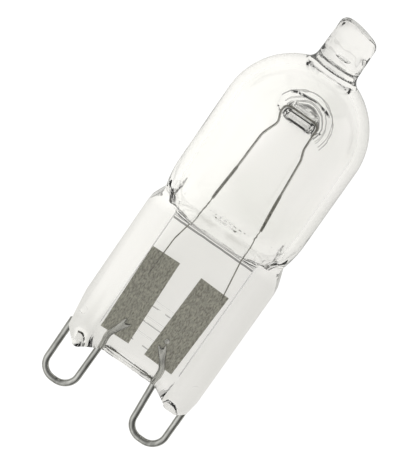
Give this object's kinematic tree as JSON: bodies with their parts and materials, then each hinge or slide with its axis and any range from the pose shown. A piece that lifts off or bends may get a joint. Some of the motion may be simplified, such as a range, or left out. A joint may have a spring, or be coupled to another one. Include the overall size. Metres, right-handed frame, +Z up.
{
  "type": "halogen capsule bulb",
  "caption": "Clear glass capsule bulb with a flat pinch, sealing foils, a coiled filament over a glass tongue and bent wire loop contacts.",
  "frame": {"origin": "middle of the underside of the part's bounding box, on the surface that the bulb lies on", "axes": "+Y runs from the contact loops to the sealed tip, +X runs across the flat pinch, +Z is up; the bulb's own axis rises about 13.0 degrees towards the tip, as it lies"},
  "size_m": [0.013, 0.039, 0.0141],
  "materials": {
    "quartz_glass": "clear, fire polished, slightly wavy where it was pressed",
    "plated_wire": "bright drawn and plated wire",
    "sealing_foil": "dull grey rolled molybdenum foil, mottled along its length",
    "tungsten": "dark grey drawn tungsten"
  },
  "bodies": {
    "root": {"glass_capsule": "quartz_glass", "contact_loop_left": "plated_wire", "contact_loop_right": "plated_wire", "foil_left": "sealing_foil", "foil_right": "sealing_foil", "inner_lead_left": "tungsten", "inner_lead_right": "tungsten", "filament": "tungsten"}
  },
  "joints": []
}
